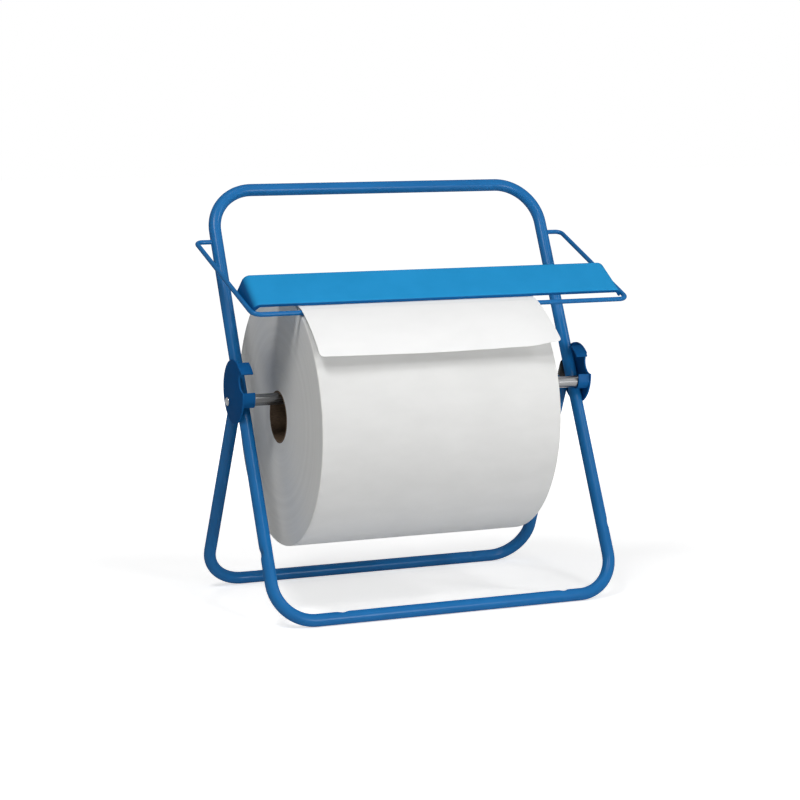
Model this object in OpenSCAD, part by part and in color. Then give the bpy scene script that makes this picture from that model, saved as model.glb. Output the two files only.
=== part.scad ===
// Folding tube stand for a large paper wiper roll, with a lift-up tear bar.
// Millimetres, +Z up, front towards -Y. The foot bars stand on Z = 0.

/* [Frame] */
// Outside diameter of the frame and leg tube
tube_d = 16; // [13:0.5:20]
// Wall thickness of the frame and leg tube
tube_wall = 1.5; // [0.8:0.1:2.5]
// Width of the main ring between its leg axes
frame_w = 462; // [430:1:520]
// Height of the top bar above the bail pivot, along the slope of the ring
top_rise = 71.5; // [65:0.5:100]
// Backward lean of the main ring from upright, in degrees
lean = 25.3; // [22:0.1:28]
// Bend radius of the two top corners, at the tube axis
top_bend_r = 57; // [30:1:65]
// Bend radius of the four foot corners, at the tube axis
foot_bend_r = 51; // [30:1:60]

/* [Rear leg] */
// Distance between the front and rear foot bars, axis to axis
stance = 289; // [260:1:330]
// Distance of the leg pivot behind the axis of the ring's leg
pivot_back = 28; // [23:0.5:30]
// Distance of the leg pivot above the hub, along the ring's leg
pivot_up = 6; // [0:0.5:12]
// Angle by which each side of the leg spreads outwards to its foot, in degrees
leg_splay = 1; // [0:0.1:1.5]
// Shank diameter of the pivot rivet
rivet_d = 6; // [4:0.5:8]
// Head diameter of the pivot rivet
rivet_head_d = 11; // [9:0.5:14]
// Head height of the pivot rivet
rivet_head_h = 2.4; // [1:0.1:3]
// Thickness of the spacer washer between plate and leg
washer_t = 0.5; // [0.4:0.1:1.5]
// Outside diameter of the spacer washer
washer_d = 13; // [10:0.5:15]
// Amount by which the plug head stands proud of the leg tube
plug_lip = 0.8; // [0.2:0.1:0.8]
// Distance by which the leg tube ends short of the ring's leg, where the plug head shows
plug_show = 6; // [2:0.5:8]
// Depth of the plug shank inside the leg tube
plug_depth = 24; // [20:1:40]

/* [Hub bracket] */
// Distance of the hub up the ring's leg, from the front bar axis
hub_up = 291.5; // [280:0.5:320]
// Thickness of the bracket plate and its tabs
plate_t = 2; // [1.5:0.1:3]
// Radius of the bracket disc
disc_r = 40.5; // [39:0.5:46]
// Height of the disc centre above the hub
disc_rise = 8.5; // [7:0.5:12]
// Distance of the disc's centre behind the hub
disc_back = 4; // [0:0.5:5]
// Radius of the mouth cut out of the disc
mouth_r = 15.5; // [14:0.5:17]
// Distance of the mouth centre inside the disc's rim
mouth_inset = 1; // [0:0.5:3]
// Height of the mouth centre above the hub
mouth_rise = 25.5; // [25:0.5:28]
// Width of the hook and cradle tabs, from the plate inwards
tab_w = 15; // [10:0.5:16]
// Angle at which the hook tab starts near the top, in degrees
hook_start = 110; // [92:1:118]
// Angle at which the hook tab ends at its tip, in degrees
hook_end = 142; // [125:1:145]
// Distance of the hook tab inside the disc's rim
rim_inset = 0.5; // [0.2:0.1:3]
// Height of the cradle's front wall above the spindle axis
cradle_lip = 10; // [9:0.5:14]
// Angle at which the cradle ends behind the spindle, in degrees
cradle_end = 320; // [290:1:340]

/* [Spindle] */
// Outside diameter of the spindle tube
spindle_d = 15; // [12:0.5:16]
// Wall thickness of the spindle tube
spindle_wall = 1.5; // [1:0.1:3]
// Distance of the spindle axis in front of the ring's leg axis
spindle_fwd = 24; // [22:0.5:27]
// Free play of the spindle at each end
spindle_play = 1.5; // [0.5:0.1:4]

/* [Paper roll] */
// Diameter of the paper roll
roll_d = 325; // [250:1:340]
// Width of the paper roll
roll_w = 315; // [250:1:380]
// Sideways place of the roll on the spindle
roll_shift = -34; // [-40:1:20]
// Bore of the cardboard core
core_bore = 62; // [40:1:76]
// Wall thickness of the cardboard core
core_wall = 2; // [1.5:0.5:6]
// Thickness of the loose paper sheet
sheet_t = 0.6; // [0.4:0.1:1]
// Length of the loose sheet in front of the wire
flap_len = 82; // [40:1:120]
// Turn of the sheet that still lies on the roll, in degrees
tail_turn = 6; // [2:1:20]
// Turn of the sheet over the wire, in degrees
wire_wrap = 9.5; // [4:0.5:20]
// Turn of the sheet from the wire to its free edge, in degrees
flap_curl = 22; // [10:1:40]

/* [Bail] */
// Diameter of the bail wire
wire_d = 6; // [4.5:0.5:7]
// Downward slope of the bail where it rests on the roll, in degrees
bail_slope = 20.6; // [14:0.1:26]
// Length of the bail from its pivot axis to its front wire axis
bail_len = 222; // [205:1:240]
// Distance of the arms' axes outside the ring's legs, at the front wire
arm_clear = 13; // [8:0.5:16]
// Angle by which each arm spreads outwards to its ear, in degrees
arm_toe = 1.8; // [1.5:0.1:3]
// Bend radius of the ears, at the wire axis
ear_bend_r = 8; // [6:0.5:12]
// Bend radius of the front corners, at the wire axis
corner_bend_r = 12; // [8:0.5:20]

/* [Tear bar] */
// Depth of the tear bar from its front lip to its rear wall
bar_depth = 61; // [45:1:70]
// Distance of the front lip behind the front wire axis
bar_setback = 10.5; // [9:0.5:16]
// Height of the front top edge above the bail wires
bar_front_rise = 8.5; // [7.5:0.5:12]
// Slope of the tear bar's face against the bail arms, in degrees
bar_slope = 13.5; // [10:0.5:18]
// Sheet thickness of the tear bar
bar_t = 1.2; // [0.8:0.1:2]
// Height of the turned-down front lip
bar_lip = 4.5; // [2:0.5:4.5]
// Depth of the rear wall
bar_rear = 14; // [8:0.5:16]
// Outside radius where the face turns down into the end walls
bar_end_r = 11; // [4:0.5:12]
// Outside radius where the face turns down into the rear wall
bar_rear_r = 4; // [2:0.5:6]

/* [Fits] */
// Gap between pieces that move past each other
run_gap = 0.35; // [0.3:0.05:0.6]
// Radial clearance of a pin in its hole
pin_gap = 0.06; // [0.02:0.01:0.1]
// Gap between pieces that are fixed together
seat_gap = 0.05; // [0.02:0.01:0.1]

/* [Hidden] */
$fn = 96;

frame_blue = "#1f69b0";
bar_blue = "#2a8fd0";
plug_black = "#161616";
steel_grey = "#b9bdc0";
card_brown = "#8d7350";
paper_white = "#f3f3f0";

// How far cuts run past what they cut, and the straights of bail and leg over their bends
past = 1;
reach = frame_w;
wire_lap = 0.3;
leg_lap = 1;
lap_thinning = 0.15;
tube_r = tube_d / 2;
tube_bore = tube_d - 2 * tube_wall;
spindle_r = spindle_d / 2;
wire_r = wire_d / 2;
roll_r = roll_d / 2;

// Places in the Y-Z plane, measured first from the front bar axis
hub_from_front = hub_up * sin(lean);
roll_from_front = hub_from_front - spindle_fwd;
box_front = roll_from_front - roll_r;
box_back = stance + tube_r;
front_y = -(box_front + box_back) / 2;
rear_y = front_y + stance;
hub_y = front_y + hub_from_front;
hub_z = tube_r + hub_up * cos(lean);
spindle_y = hub_y - spindle_fwd;
spindle_z = hub_z;
roll_z = spindle_z + spindle_r + run_gap - core_bore / 2;

// The rear leg's pivot, length and tilt
pivot_y = hub_y + pivot_back * cos(lean) + pivot_up * sin(lean);
pivot_z = hub_z - pivot_back * sin(lean) + pivot_up * cos(lean);
leg_tilt = atan2(rear_y - pivot_y, pivot_z - tube_r);
leg_len = norm([rear_y - pivot_y, pivot_z - tube_r]);
open_angle = lean + leg_tilt;
leg_inset = washer_t + run_gap;
leg_w = frame_w - 2 * leg_inset;
stop_plane = tube_r + run_gap;
leg_end = (pivot_back - tube_r * cos(open_angle) - stop_plane) / sin(open_angle) - plug_show;
leg_top_x = leg_w / 2 - leg_end * tan(leg_splay);
leg_foot_x = leg_w / 2 + leg_len * tan(leg_splay);
plug_d = tube_d + 2 * plug_lip;
plug_len = (pivot_back + plug_d) / sin(open_angle);

// The plates stand against the outer side of the ring's legs
plate_x = frame_w / 2 + tube_r;
spindle_len = 2 * (plate_x - spindle_play);
cradle_r = spindle_r + run_gap;
mouth_fwd = disc_r - mouth_inset - disc_back;

// The bail rests on the roll, so its pivot's place on the ring's leg follows from its slope
roll_c = [spindle_y, roll_z];
leg_way = [sin(lean), cos(lean)];
bail_way = [cos(bail_slope), sin(bail_slope)];
wire_to_roll = roll_r + run_gap + wire_r;
foot_to_roll = [front_y, tube_r] - bail_len * bail_way - roll_c;
foot_along = foot_to_roll * leg_way;
bail_up = sqrt(foot_along ^ 2 - foot_to_roll * foot_to_roll + wire_to_roll ^ 2) - foot_along;
bail_c = [front_y, tube_r] + bail_up * leg_way;
wire_c = bail_c - bail_len * bail_way;
bail_half = plate_x + arm_clear;
bail_end_x = frame_w / 2 - tube_wall;
frame_len = bail_up + top_rise;

// The loose sheet leaves the roll, passes over the wire and curls down
sheet_on_roll = roll_r + run_gap + sheet_t / 2;
sheet_on_wire = wire_r + run_gap + sheet_t / 2;
wire_angle = atan2(wire_c.y - roll_c.y, wire_c.x - roll_c.x);
leave_angle = wire_angle - acos((sheet_on_roll - sheet_on_wire) / wire_to_roll);
flap_start = leave_angle + wire_wrap;
flap_r = flap_len * 180 / (PI * flap_curl);
flap_c = wire_c + (sheet_on_wire - flap_r) * [cos(flap_start), sin(flap_start)];

// Points along an arc in a plane
function arc(c, r, from, to, steps) = [
  for (i = [0:steps])
    let (a = from + (to - from) * i / steps)
      c + r * [cos(a), sin(a)]
];

// Heading from one point to the next, and the turn at a corner
function heading(p, q) = atan2(q.y - p.y, q.x - p.x);
function wrapped(a) = a - 360 * round(a / 360);
function turn_at(p, q, r) = wrapped(heading(q, r) - heading(p, q));
function setback(p, q, r, bend_r) = bend_r * tan(abs(turn_at(p, q, r)) / 2);

// A bent tube or wire through points in the X-Y plane, with a radius at each inner point.
// Where a lap is given, each straight reaches that far over bends that are a hair thinner.
module bent_run(points, radii, d, extra = 0, lap = 0) {
  translate([points[0].x, points[0].y, 0])
    rotate([0, 0, heading(points[0], points[1])])
      translate([-extra, 0, 0])
        run_from(points, radii, d, extra, lap, 0);
}

// One straight of the run along +X, its bend, and the rest of the run after it
module run_from(points, radii, d, extra, lap, i) {
  last = len(points) - 2;
  cut_before = i == 0 ? -extra : setback(points[i - 1], points[i], points[i + 1], radii[i - 1]);
  cut_after = i == last ? -extra : setback(points[i], points[i + 1], points[i + 2], radii[i]);
  straight = norm(points[i + 1] - points[i]) - cut_before - cut_after;
  start = i == 0 ? 0 : -lap;
  end = i == last ? straight : straight + lap;
  translate([start, 0, 0]) rotate([0, 90, 0]) cylinder(h = end - start, d = d);
  if (i < last) {
    turn = turn_at(points[i], points[i + 1], points[i + 2]);
    center = sign(turn) * radii[i];
    translate([straight, center, 0]) {
      rotate([0, 0, turn > 0 ? -90 : 90 + turn])
        rotate_extrude(angle = abs(turn))
          translate([radii[i], 0])
            circle(d = d - lap * lap_thinning);
      rotate([0, 0, turn])
        translate([0, -center, 0])
          run_from(points, radii, d, extra, lap, i + 1);
    }
  }
}

// The closed main ring as a bent run that starts and ends in its front bar
module ring_run(d) {
  x = frame_w / 2;
  points = [[0, 0], [x, 0], [x, frame_len], [-x, frame_len], [-x, 0], [0, 0]];
  bent_run(points, [foot_bend_r, top_bend_r, top_bend_r, foot_bend_r], d);
}

// The U-shaped rear leg as a bent run from one pivot end to the other
module leg_run(d, extra = 0) {
  top = [leg_top_x, -leg_end];
  foot = [leg_foot_x, leg_len];
  points = [[-top.x, top.y], [-foot.x, foot.y], foot, top];
  bent_run(points, [foot_bend_r, foot_bend_r], d, extra, leg_lap);
}

// Frames of reference for the ring's plane, the rear leg's plane and the bail's plane
module in_ring() {
  translate([0, front_y, tube_r]) rotate([90 - lean, 0, 0]) children();
}
module in_leg() {
  translate([0, pivot_y, pivot_z]) rotate([leg_tilt - 90, 0, 0]) children();
}
module in_bail() {
  translate([0, bail_c.x, bail_c.y]) rotate([bail_slope, 0, 0]) children();
}

// Turns a shape drawn in X-Y and raised along Z into one drawn in Y-Z and raised along X
module along_x() {
  rotate([90, 0, 90]) children();
}

// Copies a piece of the right side to the left side
module on_left() {
  mirror([1, 0, 0]) children();
}

module main_frame() {
  color(frame_blue)
    difference() {
      in_ring() ring_run(tube_d);
      in_ring() ring_run(tube_bore);
      for (side = [-1, 1])
        translate([side * frame_w / 2, bail_c.x, bail_c.y])
          rotate([0, side * 90, 0])
            cylinder(h = tube_d, d = wire_d + 2 * pin_gap);
    }
}

module rear_leg() {
  color(frame_blue)
    difference() {
      in_leg() leg_run(tube_d);
      in_leg() leg_run(tube_bore, past);
      for (side = [-1, 1])
        translate([side * leg_w / 2, pivot_y, pivot_z])
          rotate([0, 90, 0])
            cylinder(h = tube_d + 2 * past, d = rivet_d + 2 * pin_gap, center = true);
    }
}

// Plug in the leg's upper end: its head is cut to lie along the ring's leg as the stop
module leg_plug() {
  color(plug_black)
    difference() {
      in_leg()
        translate([leg_top_x, -leg_end, 0]) rotate([0, 0, -leg_splay]) {
          rotate([90, 0, 0]) cylinder(h = plug_len, d = plug_d);
          rotate([-90, 0, 0]) cylinder(h = plug_depth, d = tube_bore - 2 * seat_gap);
        }
      in_ring() translate([0, 0, -stop_plane]) cube(2 * reach);
      translate([leg_w / 2, pivot_y, pivot_z])
        rotate([0, 90, 0])
          cylinder(h = tube_d + 2 * past, d = rivet_d + 2 * pin_gap, center = true);
    }
}
module leg_plug_right() {
  leg_plug();
}
module leg_plug_left() {
  on_left() leg_plug();
}

// Stamped disc with a mouth, a hook tab along its rim and a cradle tab for the spindle
module hub_bracket() {
  color(frame_blue)
    translate([plate_x + seat_gap, hub_y, hub_z]) {
      difference() {
        along_x() translate([disc_back, disc_rise, 0]) cylinder(h = plate_t, r = disc_r);
        along_x()
          translate([-mouth_fwd, mouth_rise, -past])
            cylinder(h = plate_t + 2 * past, r = mouth_r);
        along_x()
          translate([pivot_y - hub_y, pivot_z - hub_z, -past])
            cylinder(h = plate_t + 2 * past, d = rivet_d + 2 * seat_gap);
      }
      along_x()
        translate([disc_back, disc_rise, -tab_w])
          tab_arc(disc_r - rim_inset - plate_t, hook_start, hook_end);
      along_x()
        translate([-spindle_fwd, 0, -tab_w]) {
          tab_arc(cradle_r, 180, cradle_end);
          translate([-cradle_r - plate_t, 0, 0])
            cube([plate_t, cradle_lip, tab_w + plate_t / 2]);
        }
    }
}
module tab_arc(r, from, to) {
  rotate([0, 0, from])
    rotate_extrude(angle = to - from)
      translate([r, 0])
        square([plate_t, tab_w + plate_t / 2]);
}
module hub_bracket_right() {
  hub_bracket();
}
module hub_bracket_left() {
  on_left() hub_bracket();
}

// Rivet through plate, washer and leg, with a domed head at each end
module pivot_rivet() {
  outer = plate_x + seat_gap + plate_t + seat_gap;
  inner = leg_w / 2 - tube_r - run_gap;
  color(steel_grey)
    translate([inner, pivot_y, pivot_z])
      rotate([0, 90, 0])
        rotate_extrude()
          polygon(concat(
            [[0, -rivet_head_h]],
            [for (a = [-80:20:0]) head_point(a, 0, -1)],
            [[rivet_d / 2, 0], [rivet_d / 2, outer - inner]],
            [for (a = [0:20:80]) head_point(-a, outer - inner, 1)],
            [[0, outer - inner + rivet_head_h]]
          ));
}
function head_point(a, base, way) =
  [rivet_head_d / 2 * cos(a), base - way * rivet_head_h * sin(a)];
module pivot_rivet_right() {
  pivot_rivet();
}
module pivot_rivet_left() {
  on_left() pivot_rivet();
}

module pivot_washer() {
  color(steel_grey)
    translate([plate_x - washer_t, pivot_y, pivot_z])
      rotate([0, 90, 0])
        difference() {
          cylinder(h = washer_t, d = washer_d);
          translate([0, 0, -past]) cylinder(h = washer_t + 2 * past, d = rivet_d + 2 * seat_gap);
        }
}
module pivot_washer_right() {
  pivot_washer();
}
module pivot_washer_left() {
  on_left() pivot_washer();
}

module spindle() {
  color(steel_grey)
    translate([0, spindle_y, spindle_z])
      rotate([0, 90, 0])
        difference() {
          cylinder(h = spindle_len, d = spindle_d, center = true);
          cylinder(h = spindle_len + 2 * past, d = spindle_d - 2 * spindle_wall, center = true);
        }
}

// A hollow cylinder on the roll's axis
module roll_layer(outer_d, inner_d) {
  translate([roll_shift, spindle_y, roll_z])
    rotate([0, 90, 0])
      difference() {
        cylinder(h = roll_w, d = outer_d, center = true);
        cylinder(h = roll_w + 2 * past, d = inner_d, center = true);
      }
}
module roll_core() {
  color(card_brown) roll_layer(core_bore + 2 * core_wall, core_bore);
}
module wiper_roll() {
  color(paper_white) roll_layer(roll_d, core_bore + 2 * core_wall + 2 * seat_gap);
}

// One face of the loose sheet, offset outwards from its middle line
function sheet_face(offset) = concat(
  arc(roll_c, sheet_on_roll + offset, leave_angle - tail_turn, leave_angle, 4),
  arc(wire_c, sheet_on_wire + offset, leave_angle, flap_start, 4),
  arc(flap_c, flap_r + offset, flap_start, flap_start + flap_curl, 14)
);
module paper_sheet() {
  outer = sheet_face(sheet_t / 2);
  inner = sheet_face(-sheet_t / 2);
  color(paper_white)
    translate([roll_shift - roll_w / 2, 0, 0])
      along_x()
        linear_extrude(roll_w)
          polygon(concat(outer, [for (i = [len(inner) - 1:-1:0]) inner[i]]));
}

// Wire bail with its ends turned in through the holes of the ring's legs
module bail_wire() {
  ear = bail_half + bail_len * tan(arm_toe);
  points = [
    [-bail_end_x, 0], [-ear, 0], [-bail_half, -bail_len],
    [bail_half, -bail_len], [ear, 0], [bail_end_x, 0]
  ];
  color(frame_blue)
    in_bail()
      bent_run(points, [ear_bend_r, corner_bend_r, corner_bend_r, ear_bend_r], wire_d, lap = wire_lap);
}

// The tear bar's own frame: Y runs back along its face from the front lip, Z stands off its face
module in_bar() {
  in_bail()
    translate([0, bar_setback - bail_len, bar_front_rise])
      rotate([bar_slope, 0, 0])
        children();
}

// Depth profile of the bar, shrunk by a wall, with its rear top edge rounded
module bar_profile(wall) {
  r = bar_rear_r - wall;
  back = bar_depth - wall;
  translate([wall, -reach]) square([back - r - wall, reach - wall]);
  translate([wall, -reach]) square([back - wall, reach - wall - r]);
  translate([back - r, -wall - r]) circle(r);
}

// Everything inside one end wall of the bar, shrunk by a wall, with its top edge rounded
module bar_end(wall) {
  r = bar_end_r - wall;
  end = bail_half - wire_r - seat_gap - wall;
  rotate([0, 0, -arm_toe]) {
    rotate([90, 0, 0])
      translate([0, 0, -2 * bar_depth])
        linear_extrude(4 * bar_depth) {
          translate([-2 * reach, -reach]) square([2 * reach + end - r, reach - wall]);
          translate([-2 * reach, -reach]) square([2 * reach + end, reach - wall - r]);
          translate([end - r, -wall - r]) circle(r);
        }
  }
}

// The bar's form inside a wall, closed at the ends and open below
module bar_form(wall) {
  intersection() {
    translate([-reach, 0, 0]) along_x() linear_extrude(2 * reach) bar_profile(wall);
    bar_end(wall);
    on_left() bar_end(wall);
  }
}

module tear_bar() {
  color(bar_blue)
    in_bar()
      difference() {
        bar_form(0);
        bar_form(bar_t);
        // Below the bail arms nothing is left of the end walls
        rotate([-bar_slope, 0, 0])
          translate([-reach, -reach, -bar_front_rise - 2 * reach])
            cube([2 * reach, 2 * reach, 2 * reach]);
        // The front lip is short, so that paper passes between it and the wire
        intersection() {
          translate([-reach, -past, -reach - bar_lip]) cube([2 * reach, bar_t + 2 * past, reach]);
          bar_form_inside();
        }
        // The rear wall stops above the roll
        intersection() {
          translate([-reach, bar_depth - bar_t - past, -reach - bar_rear])
            cube([2 * reach, bar_t + 2 * past, reach]);
          bar_form_inside();
        }
      }
}

// The space between the two end walls
module bar_form_inside() {
  intersection() {
    bar_end(bar_t);
    on_left() bar_end(bar_t);
  }
}

main_frame();
rear_leg();
leg_plug_left();
leg_plug_right();
hub_bracket_left();
hub_bracket_right();
pivot_rivet_left();
pivot_rivet_right();
pivot_washer_left();
pivot_washer_right();
spindle();
roll_core();
wiper_roll();
paper_sheet();
bail_wire();
tear_bar();
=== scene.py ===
import math

import bmesh
import bpy
from mathutils import Matrix, Vector, noise


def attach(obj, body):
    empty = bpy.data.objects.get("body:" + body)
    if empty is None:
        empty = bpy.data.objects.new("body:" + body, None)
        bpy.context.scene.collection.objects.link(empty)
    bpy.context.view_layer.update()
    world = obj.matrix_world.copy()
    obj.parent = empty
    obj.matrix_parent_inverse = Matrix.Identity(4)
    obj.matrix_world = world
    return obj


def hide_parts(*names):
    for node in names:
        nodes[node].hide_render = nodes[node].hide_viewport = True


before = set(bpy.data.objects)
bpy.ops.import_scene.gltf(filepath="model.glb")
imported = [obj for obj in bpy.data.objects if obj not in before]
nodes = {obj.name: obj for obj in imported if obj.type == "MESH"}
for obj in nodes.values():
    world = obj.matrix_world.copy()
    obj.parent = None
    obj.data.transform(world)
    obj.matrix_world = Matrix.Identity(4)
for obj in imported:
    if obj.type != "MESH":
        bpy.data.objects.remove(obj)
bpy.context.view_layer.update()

# Sizes of the part, in metres and radians, the same as in its source
TUBE_R = 0.008
TUBE_WALL = 0.0015
LEAN = math.radians(25.3)
FRAME_HALF = 0.231
TOP_BEND_R = 0.057
FOOT_BEND_R = 0.051
STANCE = 0.289
HUB_UP = 0.2915
PIVOT_BACK = 0.028
PIVOT_UP = 0.006
LEG_INSET = 0.00085
LEG_SPLAY = math.radians(1)
PLUG_SHOW = 0.006
SPINDLE_FWD = 0.024
SPINDLE_R = 0.0075
ROLL_R = 0.1625
ROLL_W = 0.315
ROLL_X = -0.034
CORE_R = 0.033
CORE_BORE = 0.062
RUN_GAP = 0.00035
WIRE_R = 0.003
BAIL_SLOPE = math.radians(20.6)
BAIL_LEN = 0.222
BAIL_HALF = 0.252
ARM_TOE = math.radians(1.8)
EAR_BEND_R = 0.008
CORNER_BEND_R = 0.012
TOP_RISE = 0.0715
BAR_DEPTH = 0.061
BAR_SETBACK = 0.0105
BAR_FRONT_RISE = 0.0085
BAR_SLOPE = math.radians(13.5)
BAR_T = 0.0012
BAR_LIP = 0.0045
BAR_REAR = 0.014
BAR_END_R = 0.011
SHEET_T = 0.0006
FLAP_LEN = 0.082
FLAP_CURL = math.radians(22)
WIRE_WRAP = math.radians(9.5)
TAIL_TURN = math.radians(6)

# Places that follow from the sizes
FRONT_Y = -(HUB_UP * math.sin(LEAN) - SPINDLE_FWD - ROLL_R + STANCE + TUBE_R) / 2
HUB_Y = FRONT_Y + HUB_UP * math.sin(LEAN)
HUB_Z = TUBE_R + HUB_UP * math.cos(LEAN)
REAR_Y = FRONT_Y + STANCE
ROLL_Y = HUB_Y - SPINDLE_FWD
ROLL_Z = HUB_Z + SPINDLE_R + RUN_GAP - CORE_BORE / 2
PIVOT_Y = HUB_Y + PIVOT_BACK * math.cos(LEAN) + PIVOT_UP * math.sin(LEAN)
PIVOT_Z = HUB_Z - PIVOT_BACK * math.sin(LEAN) + PIVOT_UP * math.cos(LEAN)
LEG_TILT = math.atan2(REAR_Y - PIVOT_Y, PIVOT_Z - TUBE_R)
LEG_LEN = math.hypot(REAR_Y - PIVOT_Y, PIVOT_Z - TUBE_R)
LEG_HALF = FRAME_HALF - LEG_INSET
OPEN = LEAN + LEG_TILT
PLUG_REACH = (PIVOT_BACK - TUBE_R * math.cos(OPEN) - TUBE_R - RUN_GAP) / math.sin(OPEN)
LEG_END = PLUG_REACH - PLUG_SHOW
WIRE_TO_ROLL = ROLL_R + RUN_GAP + WIRE_R
FOOT_DY = FRONT_Y - BAIL_LEN * math.cos(BAIL_SLOPE) - ROLL_Y
FOOT_DZ = TUBE_R - BAIL_LEN * math.sin(BAIL_SLOPE) - ROLL_Z
FOOT_ALONG = FOOT_DY * math.sin(LEAN) + FOOT_DZ * math.cos(LEAN)
BAIL_REACH = math.sqrt(FOOT_ALONG ** 2 - FOOT_DY ** 2 - FOOT_DZ ** 2 + WIRE_TO_ROLL ** 2)
BAIL_UP = BAIL_REACH - FOOT_ALONG
BAIL_Y = FRONT_Y + BAIL_UP * math.sin(LEAN)
BAIL_Z = TUBE_R + BAIL_UP * math.cos(LEAN)
FRAME_LEN = BAIL_UP + TOP_RISE


# Materials

# Most values of a noise texture lie between these two
NOISE_LOW = 0.3
NOISE_HIGH = 0.7


def material(name):
    mat = bpy.data.materials.new(name)
    mat.use_nodes = True
    return mat, mat.node_tree, mat.node_tree.nodes["Principled BSDF"]


def feed(tree, shader, sources):
    for name, source in sources.items():
        tree.links.new(source, shader.inputs[name])


def settle(node, values):
    for name, value in values.items():
        node.inputs[name].default_value = value


def noise_node(tree, scale, detail=3.0, roughness=0.5):
    where = tree.nodes.new("ShaderNodeTexCoord")
    mapping = tree.nodes.new("ShaderNodeMapping")
    settle(mapping, {"Scale": scale})
    tex = tree.nodes.new("ShaderNodeTexNoise")
    settle(tex, {"Scale": 1.0, "Detail": detail, "Roughness": roughness})
    tree.links.new(where.outputs["Object"], mapping.inputs["Vector"])
    tree.links.new(mapping.outputs["Vector"], tex.inputs["Vector"])
    return tex.outputs["Fac"]


def ramp(tree, value, dark, light):
    """A colour from dark to light by a noise value."""
    node = tree.nodes.new("ShaderNodeValToRGB")
    low, high = node.color_ramp.elements
    low.position, low.color = NOISE_LOW, (*dark, 1)
    high.position, high.color = NOISE_HIGH, (*light, 1)
    tree.links.new(value, node.inputs["Fac"])
    return node.outputs["Color"]


def spread(tree, value, low, high):
    """A number from low to high by a noise value."""
    node = tree.nodes.new("ShaderNodeMapRange")
    settle(node, {"From Min": NOISE_LOW, "From Max": NOISE_HIGH, "To Min": low, "To Max": high})
    tree.links.new(value, node.inputs["Value"])
    return node.outputs["Result"]


def bump(tree, height, strength, distance, below=None):
    """A bumped normal; below is another bump that it lies on."""
    node = tree.nodes.new("ShaderNodeBump")
    settle(node, {"Strength": strength, "Distance": distance})
    tree.links.new(height, node.inputs["Height"])
    if below is not None:
        tree.links.new(below, node.inputs["Normal"])
    return node.outputs["Normal"]


def facing(tree, direction, none_below=0.25, full_above=0.97):
    """One on faces that look along the direction or against it, down to zero on the others."""
    where = tree.nodes.new("ShaderNodeTexCoord")
    dot = tree.nodes.new("ShaderNodeVectorMath")
    dot.operation = "DOT_PRODUCT"
    dot.inputs[1].default_value = direction
    either = tree.nodes.new("ShaderNodeMath")
    either.operation = "ABSOLUTE"
    share = tree.nodes.new("ShaderNodeMapRange")
    share.interpolation_type = "SMOOTHSTEP"
    settle(share, {"From Min": none_below, "From Max": full_above})
    tree.links.new(where.outputs["Normal"], dot.inputs[0])
    tree.links.new(dot.outputs["Value"], either.inputs[0])
    tree.links.new(either.outputs[0], share.inputs["Value"])
    return share.outputs["Result"]


def paint(name, dark, light, coat, coat_roughness, painted_shading=None):
    """Painted steel; an optional direction and second colour paint the faces that look another way
    in that colour, as painted light and shade by facing.
    """
    mat, tree, shader = material(name)
    color = ramp(tree, noise_node(tree, (22, 22, 22), detail=4), dark, light)
    if painted_shading is not None:
        direction, aside_shading = painted_shading
        # Painted light and shade: faces along the direction keep the noise colour, and the others
        # take the second colour
        mix = tree.nodes.new("ShaderNodeMix")
        mix.data_type = "RGBA"
        mix.inputs["A"].default_value = (*aside_shading, 1)
        tree.links.new(facing(tree, direction), mix.inputs["Factor"])
        tree.links.new(color, mix.inputs["B"])
        color = mix.outputs["Result"]
    gloss = noise_node(tree, (70, 70, 70), detail=5)
    peel = noise_node(tree, (900, 900, 900), detail=2)
    feed(tree, shader, {
        "Base Color": color,
        "Roughness": spread(tree, gloss, low=0.34, high=0.46),
        "Normal": bump(tree, peel, strength=0.04, distance=0.0003)})
    settle(shader, {"Specular IOR Level": 0.0, "Coat Weight": coat, "Coat IOR": 2.5,
                    "Coat Roughness": coat_roughness})
    return mat


def paper_mat(name, dark, light):
    mat, tree, shader = material(name)
    tone = noise_node(tree, (18, 34, 34), detail=5)
    fibre = noise_node(tree, (300, 300, 300), detail=3)
    crepe = bump(tree, noise_node(tree, (120, 1500, 1500), detail=3, roughness=0.6),
                 strength=0.22, distance=0.0003)
    soft = bump(tree, noise_node(tree, (14, 40, 40), detail=3),
                strength=0.20, distance=0.0016, below=crepe)
    feed(tree, shader, {
        "Base Color": ramp(tree, tone, dark, light),
        "Roughness": spread(tree, fibre, low=0.82, high=0.95),
        "Normal": soft})
    settle(shader, {"Specular IOR Level": 0.2, "Sheen Weight": 0.08})
    return mat


def radius_from_axis(tree, y, z):
    """The distance from a line along X through y and z."""
    where = tree.nodes.new("ShaderNodeTexCoord")
    flat = tree.nodes.new("ShaderNodeVectorMath")
    flat.operation = "MULTIPLY_ADD"
    flat.inputs[1].default_value = (0, 1, 1)
    flat.inputs[2].default_value = (0, -y, -z)
    length = tree.nodes.new("ShaderNodeVectorMath")
    length.operation = "LENGTH"
    tree.links.new(where.outputs["Object"], flat.inputs[0])
    tree.links.new(flat.outputs["Vector"], length.inputs[0])
    return length.outputs["Value"]


def ring_noise(tree, radius, scale, detail):
    tex = tree.nodes.new("ShaderNodeTexNoise")
    tex.noise_dimensions = "1D"
    settle(tex, {"Scale": scale, "Detail": detail})
    tree.links.new(radius, tex.inputs["W"])
    return tex.outputs["Fac"]


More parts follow.
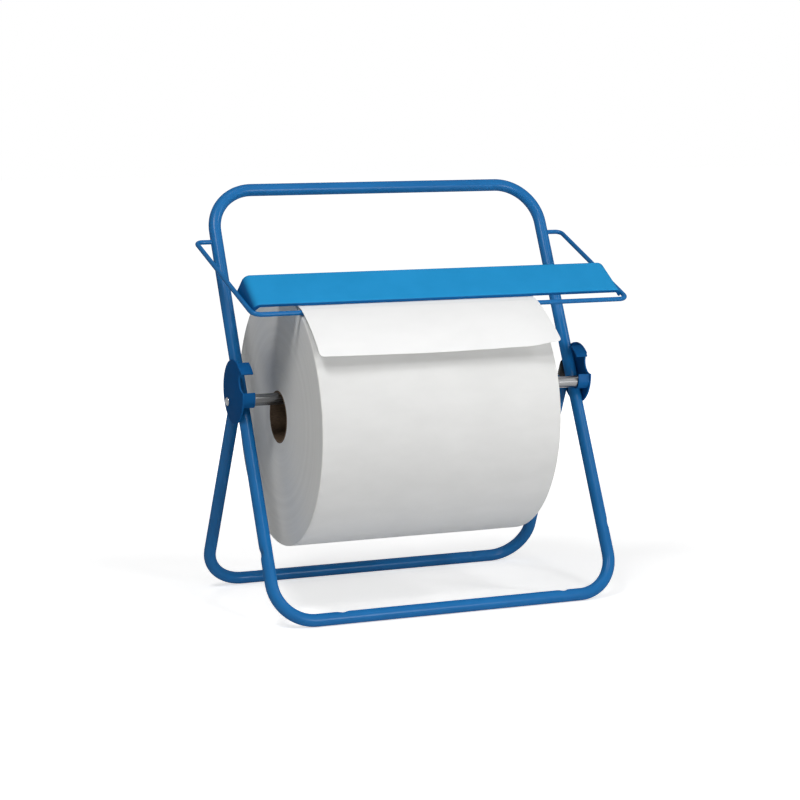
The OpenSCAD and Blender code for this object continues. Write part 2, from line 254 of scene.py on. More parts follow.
def layers_mat(name, dark, light, wide_share):
    """The roll's ends: rings of wound layers, with wider bands over the fine ones."""
    mat, tree, shader = material(name)
    radius = radius_from_axis(tree, ROLL_Y, ROLL_Z)
    fine = ring_noise(tree, radius, scale=1500, detail=3)
    wide = ring_noise(tree, radius, scale=130, detail=4)
    mix = tree.nodes.new("ShaderNodeMix")
    settle(mix, {"Factor": wide_share})
    tree.links.new(fine, mix.inputs["A"])
    tree.links.new(wide, mix.inputs["B"])
    rings = bump(tree, fine, strength=0.18, distance=0.0003)
    fuzz = bump(tree, noise_node(tree, (500, 500, 500), detail=4),
                strength=0.20, distance=0.0004, below=rings)
    feed(tree, shader, {
        "Base Color": ramp(tree, mix.outputs["Result"], dark, light),
        "Roughness": spread(tree, wide, low=0.86, high=0.96),
        "Normal": fuzz})
    settle(shader, {"Specular IOR Level": 0.15})
    return mat


def card_mat(name, dark, light):
    mat, tree, shader = material(name)
    fibre = noise_node(tree, (260, 900, 900), detail=5, roughness=0.65)
    feed(tree, shader, {
        "Base Color": ramp(tree, fibre, dark, light),
        "Roughness": spread(tree, noise_node(tree, (90, 90, 90), detail=3), low=0.78, high=0.92),
        "Normal": bump(tree, fibre, strength=0.3, distance=0.0004)})
    settle(shader, {"Specular IOR Level": 0.25})
    return mat


def steel_mat(name, dark, light):
    mat, tree, shader = material(name)
    streak = noise_node(tree, (9, 1700, 1700), detail=4, roughness=0.6)
    feed(tree, shader, {
        "Base Color": ramp(tree, streak, dark, light),
        "Roughness": spread(tree, streak, low=0.20, high=0.36),
        "Normal": bump(tree, streak, strength=0.06, distance=0.0001)})
    settle(shader, {"Metallic": 1.0})
    return mat


def plastic_mat(name, dark, light):
    mat, tree, shader = material(name)
    tone = noise_node(tree, (130, 130, 130), detail=4)
    grain = noise_node(tree, (2200, 2200, 2200), detail=2)
    feed(tree, shader, {
        "Base Color": ramp(tree, tone, dark, light),
        "Roughness": spread(tree, tone, low=0.42, high=0.56),
        "Normal": bump(tree, grain, strength=0.15, distance=0.0002)})
    return mat


# Directions that pick out the faces painted lighter or darker than the rest, as painted light and
# shade
BAR_LIT_FACING = (0, -math.sin(BAIL_SLOPE + BAR_SLOPE), math.cos(BAIL_SLOPE + BAR_SLOPE))
DISC_SHADED_FACING = (1, 0, 0)

frame_paint = paint("frame_paint", dark=(0.009, 0.140, 0.388), light=(0.012, 0.163, 0.440),
                    coat=0.075, coat_roughness=0.25)
# The hub plates carry the frame's paint painted darker, as painted shade, darkest on the discs that
# look along X; the tabs are painted lighter than the discs, as painted light
shaded_plate_paint = paint("shaded_plate_paint", dark=(0.005, 0.078, 0.250), light=(0.006, 0.092, 0.285),
                    coat=0.02, coat_roughness=0.30, painted_shading=(DISC_SHADED_FACING, (0.0085, 0.122, 0.360)))
# The tear bar carries the frame's paint: its face and the underside behind it are painted lighter
# than the frame, as painted light, and its lip, rear wall and ends darker, as painted shade
bar_paint = paint("bar_paint", dark=(0.018, 0.284, 0.605), light=(0.022, 0.312, 0.660),
                  coat=0.03, coat_roughness=0.30, painted_shading=(BAR_LIT_FACING, (0.006, 0.105, 0.310)))
# The roll's skin, its ends and the loose sheet are one paper painted in three tones, as painted
# light and shade: the sheet lightest, the skin darkest
paper = paper_mat("wiper_paper", dark=(0.770, 0.771, 0.760), light=(0.810, 0.811, 0.800))
lit_loose_paper = paper_mat("lit_loose_paper", dark=(0.920, 0.921, 0.917), light=(0.950, 0.951, 0.947))
layers = layers_mat("wiper_edges", dark=(0.83, 0.828, 0.805), light=(0.90, 0.898, 0.875),
                    wide_share=0.55)
card = card_mat("core_card", dark=(0.085, 0.055, 0.034), light=(0.17, 0.115, 0.072))
steel = steel_mat("bright_steel", dark=(0.20, 0.202, 0.205), light=(0.31, 0.312, 0.315))
plastic = plastic_mat("black_plastic", dark=(0.004, 0.004, 0.0045), light=(0.009, 0.009, 0.0095))


# Mesh helpers

SHARP_ANGLE = math.radians(32)
ROUNDED_SHARP_ANGLE = math.radians(50)
FLAT_ANGLE = math.radians(0.6)
MERGE_DISTANCE = 1e-6


def show(obj):
    bpy.context.scene.collection.objects.link(obj)


def mark_sharp(mesh, angle=SHARP_ANGLE):
    bm = bmesh.new()
    bm.from_mesh(mesh)
    for face in bm.faces:
        face.smooth = True
    for edge in bm.edges:
        edge.smooth = len(edge.link_faces) == 2 and edge.calc_face_angle(0) < angle
    bm.to_mesh(mesh)
    bm.free()


def piece(name, mesh, mats, body, replaced=()):
    for mat in mats:
        mesh.materials.append(mat)
    obj = bpy.data.objects.new(name, mesh)
    show(obj)
    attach(obj, body)
    if replaced:
        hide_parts(*replaced)
    return obj


def mesh_from(name, verts, faces):
    mesh = bpy.data.meshes.new(name)
    mesh.from_pydata([tuple(v) for v in verts], [], faces)
    mesh.update()
    mark_sharp(mesh)
    return mesh


def bent_path(points, radii, step=0.003, turn_step=math.radians(4)):
    """Points and headings along straights and round bends in a plane."""
    out = []
    last = len(points) - 2
    start = Vector(points[0])
    for i in range(last + 1):
        a, b = Vector(points[i]), Vector(points[i + 1])
        way = (b - a).normalized()
        if i < last:
            after = (Vector(points[i + 2]) - b).normalized()
            turn = math.atan2(way.x * after.y - way.y * after.x, way.dot(after))
            cut = radii[i] * math.tan(abs(turn) / 2)
        else:
            turn, cut = 0.0, 0.0
        end = b - way * cut
        count = max(2, round((end - start).length / step))
        out += [(start + (end - start) * k / count, way) for k in range(count)]
        if i < last:
            side = Vector((-way.y, way.x)) * (1 if turn > 0 else -1)
            center = end + side * radii[i]
            count = max(4, round(abs(turn) / turn_step))
            for k in range(count):
                spin = Matrix.Rotation(turn * k / count, 2)
                out.append((center + spin @ (end - center), spin @ way))
            start = b + after * cut
        else:
            out.append((end, way))
    return out


def tube_mesh(name, path, place, normal, radius, sides=32, closed=False, dimples=()):
    """A round tube along a path in a plane; a dimple is (center, way in, reach, depth)."""
    if closed:
        path = path[:-1]
    origin = place(Vector((0, 0)))
    verts = []
    for spot, way in path:
        center = place(spot)
        along = (place(way) - origin).normalized()
        across = normal.cross(along)
        for k in range(sides):
            a = 2 * math.pi * k / sides
            verts.append(center + radius * (math.cos(a) * across + math.sin(a) * normal))
    for center, inward, reach, depth in dimples:
        for i, v in enumerate(verts):
            far = (v - center).length / reach
            if far < 1:
                verts[i] = v + inward * depth * (1 - far * far) ** 2
    rows = len(path)
    faces = []
    for i in range(rows if closed else rows - 1):
        j = (i + 1) % rows
        for k in range(sides):
            m = (k + 1) % sides
            faces.append((i * sides + k, i * sides + m, j * sides + m, j * sides + k))
    if not closed:
        faces.append(tuple(range(sides - 1, -1, -1)))
        faces.append(tuple((rows - 1) * sides + k for k in range(sides)))
    return mesh_from(name, verts, faces)


def softened(node, name, mats, body, offset, segments=2):
    """A copy of a CAD piece with its sharp edges rounded off."""
    bm = bmesh.new()
    bm.from_mesh(nodes[node].data)
    bmesh.ops.remove_doubles(bm, verts=bm.verts, dist=MERGE_DISTANCE)
    bmesh.ops.dissolve_limit(bm, angle_limit=FLAT_ANGLE, verts=bm.verts, edges=bm.edges)
    sharp = [edge for edge in bm.edges
             if len(edge.link_faces) == 2 and edge.calc_face_angle(0) > SHARP_ANGLE]
    bmesh.ops.bevel(bm, geom=sharp, offset=offset, offset_type="OFFSET", segments=segments,
                    profile=0.5, affect="EDGES", clamp_overlap=True)
    bmesh.ops.triangulate(bm, faces=[f for f in bm.faces if len(f.verts) > 4])
    mesh = bpy.data.meshes.new(name)
    bm.to_mesh(mesh)
    bm.free()
    mark_sharp(mesh, ROUNDED_SHARP_ANGLE)
    piece(name, mesh, mats, body, [node])


def smooth_step(low, high, value):
    t = min(1.0, max(0.0, (value - low) / (high - low)))
    return t * t * (3 - 2 * t)


# Tube frame, rear leg and bail, each drawn in its own plane

def on_ring(p):
    return Vector((p.x, FRONT_Y + p.y * math.sin(LEAN), TUBE_R + p.y * math.cos(LEAN)))


def on_leg(p):
    return Vector((p.x, PIVOT_Y + p.y * math.sin(LEG_TILT), PIVOT_Z - p.y * math.cos(LEG_TILT)))


def on_bail(p):
    return Vector((p.x, BAIL_Y + p.y * math.cos(BAIL_SLOPE), BAIL_Z + p.y * math.sin(BAIL_SLOPE)))


# Dimples that the bending tool leaves beside the foot bends
DIMPLE_REACH = 0.0076
DIMPLE_DEPTH = 0.0036
FRONT_DIMPLE_DEPTH = DIMPLE_DEPTH * 0.6
REAR_DIMPLE_DEPTH = DIMPLE_DEPTH * 0.8
LEG_DIMPLE = 0.090
FRONT_DIMPLES = {-1: 0.146, 1: 0.156}
REAR_DIMPLES = {-1: 0.163, 1: 0.154}
up_slope = Vector((0, math.sin(LEAN), math.cos(LEAN)))
up_leg = (on_leg(Vector((0, 0))) - on_leg(Vector((0, 1)))).normalized()
ring_dimples = []
leg_dimples = []
for side in (-1, 1):
    outward = Vector((side, 0, 0))
    ring_dimples.append((on_ring(Vector((side * FRAME_HALF, LEG_DIMPLE))) + TUBE_R * outward,
                         -outward, DIMPLE_REACH, DIMPLE_DEPTH))
    ring_dimples.append((on_ring(Vector((side * FRONT_DIMPLES[side], 0))) + TUBE_R * up_slope,
                         -up_slope, DIMPLE_REACH, FRONT_DIMPLE_DEPTH))
    leg_dimples.append((on_leg(Vector((side * REAR_DIMPLES[side], LEG_LEN))) + TUBE_R * up_leg,
                        -up_leg, DIMPLE_REACH, REAR_DIMPLE_DEPTH))

ring_path = bent_path(
    [(0, 0), (FRAME_HALF, 0), (FRAME_HALF, FRAME_LEN), (-FRAME_HALF, FRAME_LEN),
     (-FRAME_HALF, 0), (0, 0)],
    [FOOT_BEND_R, TOP_BEND_R, TOP_BEND_R, FOOT_BEND_R])
ring_normal = Vector((0, -math.cos(LEAN), math.sin(LEAN)))
ring_mesh = tube_mesh("ring_tube", ring_path, on_ring, ring_normal, TUBE_R,
                      closed=True, dimples=ring_dimples)
piece("ring_tube", ring_mesh, [frame_paint], "frame", ["main_frame"])

leg_top = LEG_HALF - LEG_END * math.tan(LEG_SPLAY)
leg_foot = LEG_HALF + LEG_LEN * math.tan(LEG_SPLAY)
leg_path = bent_path(
    [(-leg_top, -LEG_END), (-leg_foot, LEG_LEN), (leg_foot, LEG_LEN), (leg_top, -LEG_END)],
    [FOOT_BEND_R, FOOT_BEND_R])
leg_normal = Vector((0, math.cos(LEG_TILT), math.sin(LEG_TILT)))
leg_mesh = tube_mesh("leg_tube", leg_path, on_leg, leg_normal, TUBE_R, dimples=leg_dimples)
piece("leg_tube", leg_mesh, [frame_paint], "leg", ["rear_leg"])

ear = BAIL_HALF + BAIL_LEN * math.tan(ARM_TOE)
stub = FRAME_HALF - TUBE_WALL
bail_path = bent_path(
    [(-stub, 0), (-ear, 0), (-BAIL_HALF, -BAIL_LEN), (BAIL_HALF, -BAIL_LEN), (ear, 0), (stub, 0)],
    [EAR_BEND_R, CORNER_BEND_R, CORNER_BEND_R, EAR_BEND_R], turn_step=math.radians(7))
bail_normal = Vector((0, -math.sin(BAIL_SLOPE), math.cos(BAIL_SLOPE)))
bail_mesh = tube_mesh("bail_rod", bail_path, on_bail, bail_normal, WIRE_R, sides=20)
piece("bail_rod", bail_mesh, [frame_paint], "bail", ["bail_wire"])


# The tear bar: a flat face with rolled edges, a short front lip, a rear wall and closed ends

BAR_FRONT_R = 0.0022
BAR_REAR_R = 0.005
BAR_TAPER = 0.0012
BAR_END_GAP = 0.0001
ARM_HOLD = 0.0022
BAR_END_STEPS = 10
BAR_EDGE_STEPS = 6
BAR_COLUMNS = 48
BAR_ROWS = 8
BAR_WALL_ROWS = 5

# Where the walls begin to deepen on their way round the bar's corners, and where they are deepest
FRONT_SIDE = -0.65
LIP_DEEPENS = 0.15
WALL_DEEPENS = 0.55
WALL_DEEPEST = 0.8


def in_bar(x, y, z):
    along = BAR_SETBACK - BAIL_LEN + y * math.cos(BAR_SLOPE) - z * math.sin(BAR_SLOPE)
    above = BAR_FRONT_RISE + y * math.sin(BAR_SLOPE) + z * math.cos(BAR_SLOPE)
    return on_bail(Vector((x, along))) + above * bail_normal


def rolled_line(edge_steps, flat_steps):
    """From -1 to 0 over one rolled edge, then 0 on the flat, then up to 1 over the other edge."""
    line = [-1 + k / edge_steps for k in range(edge_steps)] + [0] * (flat_steps + 1)
    return line + [(k + 1) / edge_steps for k in range(edge_steps)]


def bar_face():
    """Rows of (x, y, z, p, q) on the bar's face; p and q tell the place on its rolled edges."""
    half = BAIL_HALF - WIRE_R - BAR_END_GAP
    flat_depth = BAR_DEPTH - BAR_FRONT_R - BAR_REAR_R
    grid = []
    for j, q in enumerate(rolled_line(BAR_EDGE_STEPS, BAR_ROWS)):
        row = []
        edge_r = BAR_FRONT_R if q < 0 else BAR_REAR_R
        for i, p in enumerate(rolled_line(BAR_END_STEPS, BAR_COLUMNS)):
            pp = p * math.sqrt(1 - q * q / 2)
            qq = q * math.sqrt(1 - p * p / 2)
            rim = min(1.0, pp * pp + qq * qq)
            drop = (BAR_END_R * pp * pp + edge_r * qq * qq) / rim if rim else 0.0
            if q:
                y = (edge_r if q < 0 else BAR_DEPTH - edge_r) + edge_r * qq
            else:
                y = BAR_FRONT_R + flat_depth * ((j - BAR_EDGE_STEPS) / BAR_ROWS)
            reach = half - BAR_TAPER * y / BAR_DEPTH - BAR_END_R
            if p:
                x = math.copysign(reach, p) + BAR_END_R * pp
            else:
                x = reach * (2 * ((i - BAR_END_STEPS) / BAR_COLUMNS) - 1)
            row.append((x, y, -drop * (1 - math.sqrt(1 - rim)), pp, qq))
        grid.append(row)
    return grid


def wall_foot(x, y, p, q):
    """How deep the wall reaches, and how far it flares out to the bail's arm."""
    at_end = smooth_step(LIP_DEEPENS if q < FRONT_SIDE else WALL_DEEPENS, WALL_DEEPEST, abs(p))
    edge = BAR_LIP if q < 0 else BAR_REAR
    to_arm = (BAR_FRONT_RISE + ARM_HOLD + y * math.sin(BAR_SLOPE)) / math.cos(BAR_SLOPE)
    bottom = -(edge + (to_arm - edge) * at_end)
    flare = math.copysign(y * (math.tan(ARM_TOE) + BAR_TAPER / BAR_DEPTH), x) * at_end
    return bottom, flare


def bar_mesh():
    grid = bar_face()
    bm = bmesh.new()
    verts = [[bm.verts.new(v[:3]) for v in row] for row in grid]
    rows, columns = len(grid), len(grid[0])
    for j in range(rows - 1):
        for i in range(columns - 1):
            bm.faces.new((verts[j][i], verts[j][i + 1], verts[j + 1][i + 1], verts[j + 1][i]))
    border = [(0, i) for i in range(columns)]
    border += [(j, columns - 1) for j in range(1, rows)]
    border += [(rows - 1, i) for i in range(columns - 2, -1, -1)]
    border += [(j, 0) for j in range(rows - 2, 0, -1)]
    ring = [verts[j][i] for j, i in border]
    for k in range(1, BAR_WALL_ROWS + 1):
        below = []
        for j, i in border:
            x, y, z, p, q = grid[j][i]
            bottom, flare = wall_foot(x, y, p, q)
            below.append(bm.verts.new((x + flare * k / BAR_WALL_ROWS, y,
                                       z + (bottom - z) * k / BAR_WALL_ROWS)))
        for m in range(len(ring)):
            n = (m + 1) % len(ring)
            bm.faces.new((ring[m], below[m], below[n], ring[n]))
        ring = below
    bm.normal_update()
    outer = list(bm.verts)
    inner = {v: bm.verts.new(v.co - v.normal * BAR_T) for v in outer}
    for face in list(bm.faces):
        bm.faces.new([inner[v] for v in reversed(face.verts)])
    for m in range(len(ring)):
        n = (m + 1) % len(ring)
        bm.faces.new((ring[m], inner[ring[m]], inner[ring[n]], ring[n]))
    for v in bm.verts:
        v.co = in_bar(*v.co)
    bm.normal_update()
    mesh = bpy.data.meshes.new("tear_bar_sheet")
    bm.to_mesh(mesh)
    bm.free()
    mark_sharp(mesh, ROUNDED_SHARP_ANGLE)
    return mesh


piece("tear_bar_sheet", bar_mesh(), [bar_paint], "bail", ["tear_bar"])


# Pressed and moulded pieces, and the CAD pieces that are shown as they are

PLATE_EDGE_R = 0.0005
PLUG_EDGE_R = 0.0008
for side in ("left", "right"):
    softened(f"hub_bracket_{side}", f"hub_plate_{side}", [shaded_plate_paint], "frame",
             PLATE_EDGE_R)
    softened(f"leg_plug_{side}", f"plug_{side}", [plastic], "leg",
             PLUG_EDGE_R, segments=3)
PLAIN_PIECES = {
    "pivot_rivet_left": steel, "pivot_rivet_right": steel,
    "pivot_washer_left": steel, "pivot_washer_right": steel,
    "spindle": steel, "roll_core": card}
for node, mat in PLAIN_PIECES.items():
    nodes[node].data.materials.clear()
    nodes[node].data.materials.append(mat)


# The wound roll: uneven layers at its ends, softly rounded edges and a slightly uneven skin

ROLL_EDGE_R = 0.0022
ROLL_TURNS = 192
ROLL_RINGS = 34
ROLL_EDGE_STEPS = 6
ROLL_SPANS = 40
CORE_GAP = 0.0002
SKIN_WAVE = 0.0003
SKIN_WAVES_ALONG = 9
SKIN_WAVES_ROUND = 2.2
END_INSET = 0.0004
FINE_STEP = 0.00012
FINE_STEPS = 420
FINE_STEPS_ROUND = 0.7
FINE_SHIFT = 5
WIDE_STEP = 0.0003
WIDE_STEPS = 45


def roll_profile():
    """Points (x, radius, share of the end's unevenness, material slot) from end to end."""
    paper_depth = ROLL_R - ROLL_EDGE_R - CORE_R - CORE_GAP
    left = [(0.0, CORE_R + CORE_GAP + paper_depth * k / (ROLL_RINGS - 1), 1.0, 1)
            for k in range(ROLL_RINGS)]
    for k in range(1, ROLL_EDGE_STEPS):
        a = math.pi / 2 * k / ROLL_EDGE_STEPS
        x = ROLL_EDGE_R * (1 - math.cos(a))
        r = ROLL_R - ROLL_EDGE_R + ROLL_EDGE_R * math.sin(a)
        left.append((x, r, 1 - k / ROLL_EDGE_STEPS, 1))
    skin = [(ROLL_EDGE_R + (ROLL_W - 2 * ROLL_EDGE_R) * k / ROLL_SPANS, ROLL_R, 0.0, 0)
            for k in range(ROLL_SPANS + 1)]
    right = [(ROLL_W - x, r, -share, slot) for x, r, share, slot in reversed(left)]
    return left + skin + right


def roll_mesh():
    turns = ROLL_TURNS
    line = roll_profile()
    verts = []
    for x, r, end, _ in line:
        for k in range(turns):
            a = 2 * math.pi * k / turns
            y, z = math.cos(a), math.sin(a)
            if end == 0.0:
                wave = noise.noise((x * SKIN_WAVES_ALONG,
                                    y * SKIN_WAVES_ROUND, z * SKIN_WAVES_ROUND))
                r_here = r - SKIN_WAVE + SKIN_WAVE * wave
                x_here = x
            else:
                r_here = r - (SKIN_WAVE if r > ROLL_R - ROLL_EDGE_R else 0)
                step = FINE_STEP * noise.noise((r * FINE_STEPS, y * FINE_STEPS_ROUND + FINE_SHIFT,
                                                z * FINE_STEPS_ROUND))
                step += WIDE_STEP * noise.noise((r * WIDE_STEPS, y, z))
                x_here = x + end * (END_INSET + step)
            verts.append((ROLL_X - ROLL_W / 2 + x_here, ROLL_Y + r_here * y, ROLL_Z + r_here * z))
    faces = []
    mats = []
    for i in range(len(line) - 1):
        for k in range(turns):
            m = (k + 1) % turns
            faces.append((i * turns + k, (i + 1) * turns + k, (i + 1) * turns + m, i * turns + m))
            mats.append(1 if line[i][3] and line[i + 1][3] else 0)
    last = (len(line) - 1) * turns
    for k in range(turns):
        m = (k + 1) % turns
        faces.append((last + k, k, m, last + m))
        mats.append(1)
    mesh = mesh_from("roll_paper", verts, faces)
    mesh.polygons.foreach_set("material_index", mats)
    return mesh


piece("roll_paper", roll_mesh(), [paper, layers], "roll", ["wiper_roll"])


# The loose end: it lies on the roll, goes over the wire and hangs in a soft bow

SHEET_ON_ROLL = ROLL_R + RUN_GAP + SHEET_T / 2
SHEET_ON_WIRE = WIRE_R + RUN_GAP + SHEET_T / 2
SHEET_STEP = SHEET_ON_ROLL - SHEET_ON_WIRE
wire = on_bail(Vector((0, -BAIL_LEN)))
WIRE_ANGLE = math.atan2(wire.z - ROLL_Z, wire.y - ROLL_Y)
LEAVE = WIRE_ANGLE - math.acos(SHEET_STEP / WIRE_TO_ROLL)
FLAP_START = LEAVE + WIRE_WRAP
SHEET_HALF_T = 0.00022
SHEET_INSET = 0.0004
SHEET_HALF_W = ROLL_W / 2 - SHEET_INSET
SHEET_CORNER = 0.005
SHEET_COLUMNS = 80
TAIL_ROWS = 8
SPAN_ROWS = 8
WRAP_ROWS = 4
FLAP_ROWS = 40
TAIL_SINK = 0.0009
TAIL_SINK_ROWS = 4

# The flap's bow: its sides stand out, its middle lies in, it leans and its right corner lifts
BOW_SIDES = 0.0036
BOW_POWER = 2.2
BOW_MIDDLE = 0.0026
BOW_LEAN = 0.0008
CORNER_LIFT = 0.0060
CORNER_FROM = 0.72
LIFT_POWER = 1.6

# The flap's waves: their heights, how many there are, and where the noise is read
WIDE_WAVE = 0.0012
WIDE_WAVES_ACROSS = 1.7
WIDE_WAVES_DOWN = 1.5
WIDE_SHIFT = 3
WIDE_SLICE = 0.4
FINE_WAVE = 0.0004
FINE_WAVES_ACROSS = 6
FINE_WAVES_DOWN = 3
FINE_SLICE = 2.0


def round_roll(turn, sink):
    r = SHEET_ON_ROLL - sink
    return ROLL_Y + r * math.cos(turn), ROLL_Z + r * math.sin(turn), turn


def round_wire(turn):
    return wire.y + SHEET_ON_WIRE * math.cos(turn), wire.z + SHEET_ON_WIRE * math.sin(turn), turn


def on_flap(share):
    r = FLAP_LEN / FLAP_CURL
    turn = FLAP_START + FLAP_CURL * share
    y = wire.y + (SHEET_ON_WIRE - r) * math.cos(FLAP_START) + r * math.cos(turn)
    z = wire.z + (SHEET_ON_WIRE - r) * math.sin(FLAP_START) + r * math.sin(turn)
    return y, z, turn


def flap_lift(u, share):
    """How far the flap stands off its even curve, at u across it and a share of its length."""
    bow = BOW_SIDES * abs(u) ** BOW_POWER - BOW_MIDDLE + BOW_LEAN * u
    bow += CORNER_LIFT * smooth_step(CORNER_FROM, 1.0, u)
    wave = WIDE_WAVE * noise.noise((u * WIDE_WAVES_ACROSS + WIDE_SHIFT,
                                    share * WIDE_WAVES_DOWN, WIDE_SLICE))
    wave += FINE_WAVE * noise.noise((u * FINE_WAVES_ACROSS, share * FINE_WAVES_DOWN, FINE_SLICE))
    return (bow + wave) * share ** LIFT_POWER


def sheet_lead():
    """The rows of the sheet from its tail on the roll to the start of the flap."""
    lead = [round_roll(LEAVE - TAIL_TURN * (1 - k / TAIL_ROWS),
                       TAIL_SINK * max(0.0, 1 - k / TAIL_SINK_ROWS)) for k in range(TAIL_ROWS + 1)]
    start, end = round_roll(LEAVE, 0.0), round_wire(LEAVE)
    lead += [(start[0] + (end[0] - start[0]) * k / SPAN_ROWS,
              start[1] + (end[1] - start[1]) * k / SPAN_ROWS, LEAVE) for k in range(1, SPAN_ROWS)]
    return lead + [round_wire(LEAVE + WIRE_WRAP * k / WRAP_ROWS) for k in range(WRAP_ROWS + 1)]


def sheet_mesh():
    columns = SHEET_COLUMNS
    line = [(spot, 0.0) for spot in sheet_lead()]
    line += [(None, k / FLAP_ROWS) for k in range(1, FLAP_ROWS + 1)]
    top, under = [], []
    for spot, flap in line:
        for k in range(columns + 1):
            u = math.sin(math.pi / 2 * (2 * k / columns - 1))
            x = ROLL_X + u * SHEET_HALF_W
            near = max(0.0, abs(u) * SHEET_HALF_W - SHEET_HALF_W + SHEET_CORNER)
            cut = SHEET_CORNER - math.sqrt(SHEET_CORNER ** 2 - near ** 2)
            share = flap * (1 - cut / FLAP_LEN)
            y, z, turn = spot or on_flap(share)
            lift = flap_lift(u, share)
            y += lift * math.cos(turn)
            z += lift * math.sin(turn)
            out_y, out_z = SHEET_HALF_T * math.cos(turn), SHEET_HALF_T * math.sin(turn)
            top.append((x, y + out_y, z + out_z))
            under.append((x, y - out_y, z - out_z))
    n = columns + 1
    rows = len(line)
    base = len(top)
    faces = []
    for i in range(rows - 1):
        for k in range(columns):
            p, q, r, s = i * n + k, i * n + k + 1, (i + 1) * n + k + 1, (i + 1) * n + k
            faces.append((p, q, r, s))
            faces.append((base + s, base + r, base + q, base + p))
        for k in (0, columns):
            p, s = i * n + k, (i + 1) * n + k
            faces.append((p, s, base + s, base + p) if k == 0 else (s, p, base + p, base + s))
    for i in (0, rows - 1):
        for k in range(columns):
            p, q = i * n + k, i * n + k + 1
            faces.append((q, p, base + p, base + q) if i == 0 else (p, q, base + q, base + p))
    return mesh_from("loose_sheet", top + under, faces)


sheet = piece("loose_sheet", sheet_mesh(), [lit_loose_paper], "bail", ["paper_sheet"])


# Camera at the photograph's viewpoint

AZIMUTH = math.radians(-21.95)
ELEVATION = math.radians(6.91)
CAMERA_ROLL = math.radians(-0.67)
DISTANCE = 2.8305
FOCAL_PIXELS = 2172.75
IMAGE_PIXELS = 800
SENSOR_WIDTH = 36.0
CLIP_END = 60
TARGET = Vector((-0.0088, 0.1445 + FRONT_Y, 0.2548))
back = Vector((math.sin(AZIMUTH) * math.cos(ELEVATION), -math.cos(AZIMUTH) * math.cos(ELEVATION),
               math.sin(ELEVATION)))
level = Vector((math.cos(AZIMUTH), math.sin(AZIMUTH), 0))
upright = back.cross(level)
right = math.cos(CAMERA_ROLL) * level + math.sin(CAMERA_ROLL) * upright
up = math.cos(CAMERA_ROLL) * upright - math.sin(CAMERA_ROLL) * level
camera = bpy.data.cameras.new("camera")
camera.sensor_width = SENSOR_WIDTH
camera.lens = FOCAL_PIXELS / IMAGE_PIXELS * SENSOR_WIDTH
camera.clip_end = CLIP_END
camera_obj = bpy.data.objects.new("camera", camera)
camera_obj.matrix_world = Matrix((
    (right.x, up.x, back.x, 0),
    (right.y, up.y, back.y, 0),
    (right.z, up.z, back.z, 0),
    (0, 0, 0, 1)))
camera_obj.location = TARGET + DISTANCE * back
show(camera_obj)
bpy.context.scene.camera = camera_obj


# Floor, light and background

FLOOR_HALF = 30
FLOOR_DROP = 0.0002
FLOOR_GLOW = 0.62
GLOW_NEAR = 0.3
GLOW_FAR = 1.6
AMBIENT = 0.07
WHITE = (1, 1, 1, 1)


def seen_directly(tree):
    """One for camera, glossy and transmission rays, zero for the rest."""
    path = tree.nodes.new("ShaderNodeLightPath")
    first = tree.nodes.new("ShaderNodeMath")
    first.operation = "MAXIMUM"
    both = tree.nodes.new("ShaderNodeMath")
    both.operation = "MAXIMUM"
    tree.links.new(path.outputs["Is Camera Ray"], first.inputs[0])
    tree.links.new(path.outputs["Is Glossy Ray"], first.inputs[1])
    tree.links.new(first.outputs[0], both.inputs[0])
    tree.links.new(path.outputs["Is Transmission Ray"], both.inputs[1])
    return both.outputs[0]


def floor_material():
    """Pale and matt, with a glow for direct view that rises to white away from the part."""
    mat = bpy.data.materials.new("floor")
    mat.use_nodes = True
    tree = mat.node_tree
    tree.nodes.clear()
    diffuse = tree.nodes.new("ShaderNodeBsdfDiffuse")
    tone = ramp(tree, noise_node(tree, (3, 3, 3), detail=3),
                dark=(0.75, 0.75, 0.75), light=(0.78, 0.78, 0.78))
    tree.links.new(tone, diffuse.inputs["Color"])
    where = tree.nodes.new("ShaderNodeTexCoord")
    far = tree.nodes.new("ShaderNodeVectorMath")
    far.operation = "LENGTH"
    tree.links.new(where.outputs["Object"], far.inputs[0])
    by_distance = tree.nodes.new("ShaderNodeMapRange")
    by_distance.interpolation_type = "SMOOTHSTEP"
    settle(by_distance, {"From Min": GLOW_NEAR, "From Max": GLOW_FAR,
                         "To Min": FLOOR_GLOW, "To Max": 1.0})
    tree.links.new(far.outputs["Value"], by_distance.inputs["Value"])
    gain = tree.nodes.new("ShaderNodeMath")
    gain.operation = "MULTIPLY"
    tree.links.new(seen_directly(tree), gain.inputs[0])
    tree.links.new(by_distance.outputs["Result"], gain.inputs[1])
    glow = tree.nodes.new("ShaderNodeEmission")
    settle(glow, {"Color": WHITE})
    tree.links.new(gain.outputs[0], glow.inputs["Strength"])
    add = tree.nodes.new("ShaderNodeAddShader")
    out = tree.nodes.new("ShaderNodeOutputMaterial")
    tree.links.new(diffuse.outputs[0], add.inputs[0])
    tree.links.new(glow.outputs[0], add.inputs[1])
    tree.links.new(add.outputs[0], out.inputs["Surface"])
    return mat


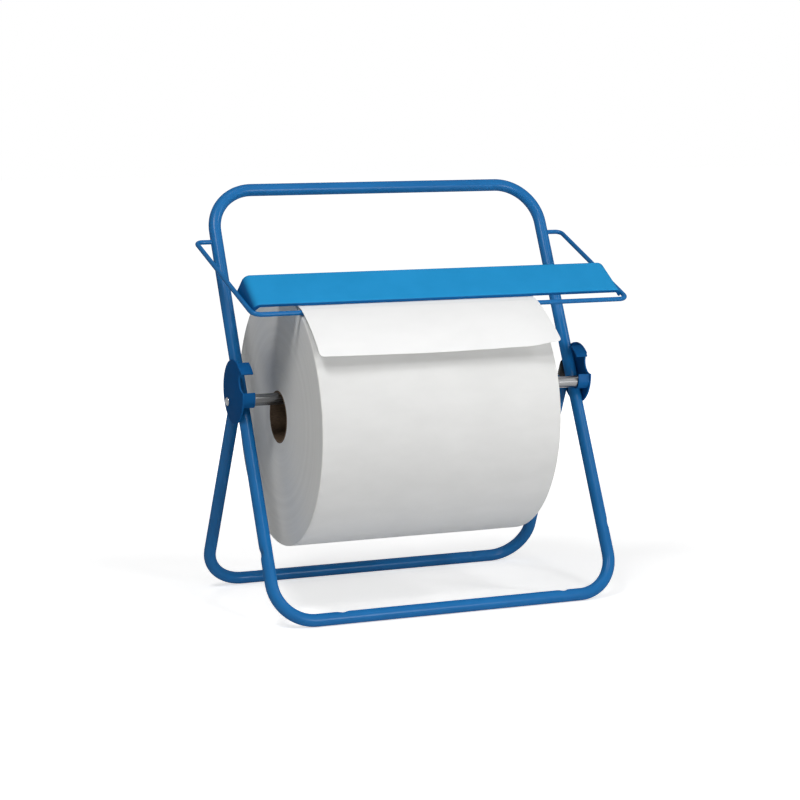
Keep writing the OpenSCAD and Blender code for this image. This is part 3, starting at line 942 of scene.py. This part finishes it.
def studio_world():
    """White where it is seen directly, and a weak even light for the rest."""
    world = bpy.data.worlds.new("studio")
    world.use_nodes = True
    tree = world.node_tree
    tree.nodes.clear()
    sky = tree.nodes.new("ShaderNodeBackground")
    settle(sky, {"Color": WHITE})
    strength = tree.nodes.new("ShaderNodeMapRange")
    settle(strength, {"To Min": AMBIENT, "To Max": 1.0})
    tree.links.new(seen_directly(tree), strength.inputs["Value"])
    tree.links.new(strength.outputs["Result"], sky.inputs["Strength"])
    out = tree.nodes.new("ShaderNodeOutputWorld")
    tree.links.new(sky.outputs[0], out.inputs["Surface"])
    return world


def softbox(name, place, aim, size, level_at_object):
    """A square area light that gives a facing white surface that brightness."""
    place, aim = Vector(place), Vector(aim)
    light = bpy.data.lights.new(name, "AREA")
    light.shape = "SQUARE"
    light.size = size
    light.energy = level_at_object * math.pi ** 2 * (aim - place).length_squared
    obj = bpy.data.objects.new(name, light)
    obj.location = place
    obj.rotation_euler = (aim - place).to_track_quat("-Z", "Y").to_euler()
    show(obj)


floor_mesh = bpy.data.meshes.new("floor")
floor_mesh.from_pydata(
    [(-FLOOR_HALF, -FLOOR_HALF, 0), (FLOOR_HALF, -FLOOR_HALF, 0),
     (FLOOR_HALF, FLOOR_HALF, 0), (-FLOOR_HALF, FLOOR_HALF, 0)], [], [(0, 1, 2, 3)])
floor = bpy.data.objects.new("floor", floor_mesh)
floor.location.z = -FLOOR_DROP
show(floor)
floor_mesh.materials.append(floor_material())

bpy.context.scene.world = studio_world()

softbox("left_light", (-1.10, -1.00, 2.15), aim=(0, 0, 0.3), size=0.6, level_at_object=0.39)
softbox("front_light", (0.60, -2.30, 0.38), aim=(0, 0, 0.27), size=0.7, level_at_object=0.31)
softbox("front_key", (0.13, -1.95, 2.02), aim=(0, 0, 0.3), size=0.3, level_at_object=0.14)
softbox("right_key", (1.85, -1.18, 1.68), aim=(0, 0, 0.3), size=0.3, level_at_object=0.13)
softbox("top_light", (0.15, -0.55, 2.40), aim=(0, 0, 0.3), size=0.5, level_at_object=0.05)
softbox("back_light", (0.40, 2.30, 1.00), aim=(0, 0, 0.3), size=0.8, level_at_object=0.17)

bpy.context.scene.view_settings.view_transform = "Standard"
